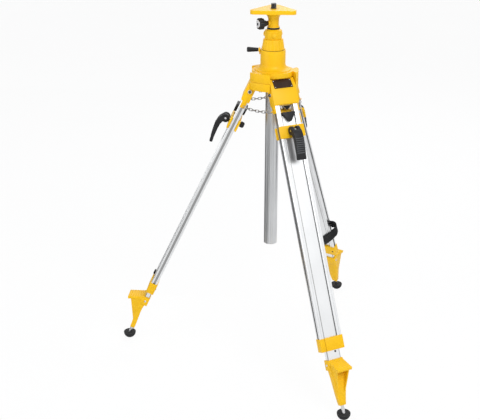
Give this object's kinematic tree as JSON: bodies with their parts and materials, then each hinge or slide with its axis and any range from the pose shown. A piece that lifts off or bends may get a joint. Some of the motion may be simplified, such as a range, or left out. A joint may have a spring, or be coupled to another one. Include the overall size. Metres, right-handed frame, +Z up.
{
  "type": "elevating tripod",
  "caption": "Elevating tripod with clamped two-stage legs, bell hub, cranked rack column and a flat head plate with a threaded fixing stud.",
  "frame": {"origin": "centre of the head plate's top face, on the fixing stud's axis", "axes": "+Z up along the column; +X away from the left leg; -Y towards the viewer of the picture"},
  "size_m": [0.729, 0.8358, 1.0932],
  "materials": {
    "yellow": "cast alloy, powder coated yellow",
    "alloy": "bright anodised",
    "black": "moulded, matt",
    "bush": "moulded, smooth",
    "steel": "plated",
    "dark_steel": "blackened",
    "plate": "satin",
    "webbing": "woven webbing",
    "rubber": "matt"
  },
  "bodies": {
    "base": {"bell_housing": "yellow", "top_cover": "yellow", "base_plate": "yellow", "guide_bushes": "bush", "housing_screws": "steel", "hinge_pins": "steel", "leg_chains": "steel"},
    "column": {"column_tube": "alloy", "column_rack": "steel", "column_cap": "yellow", "head_ring": "black", "head": "yellow"},
    "stud": {"fixing_stud": "dark_steel"},
    "knob": {"drive_knob": "black", "knob_shaft": "steel"},
    "crank": {"pinion_shaft": "steel", "crank_arm": "yellow", "grip_spindle": "steel"},
    "grip": {"crank_grip": "black"},
    "upper_left": {"casting_left": "yellow", "rails_left": "alloy", "bracket_left": "yellow"},
    "lower_left": {"inner_bar_left": "alloy", "top_guide_left": "black", "clamp_outer_left": "yellow", "clamp_inner_left": "yellow", "clamp_bolt_left": "steel", "foot_left": "yellow", "spike_left": "steel", "boot_left": "rubber"},
    "lever_left": {"lever_left": "black"},
    "adjuster_left": {"adjuster_left": "black"},
    "upper_front": {"casting_front": "yellow", "rails_front": "alloy", "bracket_front": "yellow", "nameplate": "plate"},
    "lower_front": {"inner_bar_front": "alloy", "top_guide_front": "black", "clamp_outer_front": "yellow", "clamp_inner_front": "yellow", "clamp_bolt_front": "steel", "foot_front": "yellow", "spike_front": "steel", "boot_front": "rubber"},
    "lever_front": {"lever_front": "black"},
    "adjuster_front": {"adjuster_front": "black"},
    "upper_rear": {"casting_rear": "yellow", "rails_rear": "alloy", "bracket_rear": "yellow", "carry_strap": "webbing"},
    "lower_rear": {"inner_bar_rear": "alloy", "top_guide_rear": "black", "clamp_outer_rear": "yellow", "clamp_inner_rear": "yellow", "clamp_bolt_rear": "steel", "foot_rear": "yellow", "spike_rear": "steel", "boot_rear": "rubber"},
    "lever_rear": {"lever_rear": "black"},
    "adjuster_rear": {"adjuster_rear": "black"}
  },
  "joints": [
    {"name": "column_lift", "type": "slide", "parent": "base", "child": "column", "axis": [0, 0, 1], "range_m": [0, 0.43]},
    {"name": "crank_turn", "type": "hinge", "parent": "base", "child": "crank", "pos_m": [0, 0.032, -0.1282], "axis": [-1, 0, 0], "range_deg": [0, 2350]},
    {"name": "grip_spin", "type": "hinge", "parent": "crank", "child": "grip", "pos_m": [-0.0368, 0.00005, -0.11657], "axis": [-1, 0, 0], "continuous": true},
    {"name": "stud_turn", "type": "hinge", "parent": "column", "child": "stud", "pos_m": [0, 0, 0], "axis": [0, 0, 1], "continuous": true},
    {"name": "knob_turn", "type": "hinge", "parent": "column", "child": "knob", "pos_m": [0, 0, -0.04], "axis": [-0.866, -0.5, 0], "continuous": true},
    {"name": "hinge_left", "type": "hinge", "parent": "base", "child": "upper_left", "pos_m": [-0.0535, 0, -0.2102], "axis": [0, -1, 0], "range_deg": [0, 22], "deforming": ["leg_chains"]},
    {"name": "slide_left", "type": "slide", "parent": "upper_left", "child": "lower_left", "axis": [-0.4319, 0, -0.9019], "range_m": [0, 0.41]},
    {"name": "lever_left", "type": "hinge", "parent": "lower_left", "child": "lever_left", "pos_m": [-0.13646, 0, -0.31794], "axis": [0, 1, 0], "range_deg": [0, 100]},
    {"name": "adjust_left", "type": "hinge", "parent": "lower_left", "child": "adjuster_left", "pos_m": [-0.11094, 0, -0.33016], "axis": [-0.9019, 0, 0.4319], "continuous": true},
    {"name": "hinge_front", "type": "hinge", "parent": "base", "child": "upper_front", "pos_m": [0.02675, -0.04633, -0.2102], "axis": [0.866, 0.5, 0], "range_deg": [0, 22], "deforming": ["leg_chains"]},
    {"name": "slide_front", "type": "slide", "parent": "upper_front", "child": "lower_front", "axis": [0.2159, -0.374, -0.9019], "range_m": [0, 0.41]},
    {"name": "lever_front", "type": "hinge", "parent": "lower_front", "child": "lever_front", "pos_m": [0.06823, -0.11818, -0.31794], "axis": [-0.866, -0.5, 0], "range_deg": [0, 100]},
    {"name": "adjust_front", "type": "hinge", "parent": "lower_front", "child": "adjuster_front", "pos_m": [0.05547, -0.09607, -0.33016], "axis": [0.451, -0.7811, 0.4319], "continuous": true},
    {"name": "hinge_rear", "type": "hinge", "parent": "base", "child": "upper_rear", "pos_m": [0.02675, 0.04633, -0.2102], "axis": [-0.866, 0.5, 0], "range_deg": [0, 22], "deforming": ["leg_chains"]},
    {"name": "slide_rear", "type": "slide", "parent": "upper_rear", "child": "lower_rear", "axis": [0.2159, 0.374, -0.9019], "range_m": [0, 0.41]},
    {"name": "lever_rear", "type": "hinge", "parent": "lower_rear", "child": "lever_rear", "pos_m": [0.06823, 0.11818, -0.31794], "axis": [0.866, -0.5, 0], "range_deg": [0, 100]},
    {"name": "adjust_rear", "type": "hinge", "parent": "lower_rear", "child": "adjuster_rear", "pos_m": [0.05547, 0.09607, -0.33016], "axis": [0.451, 0.7811, 0.4319], "continuous": true}
  ],
  "couplings": [
    {"joint": "crank_turn", "follows": "column_lift", "rad_per_m": 95.238},
    {"joint": "knob_turn", "follows": "stud_turn", "ratio": -1}
  ]
}
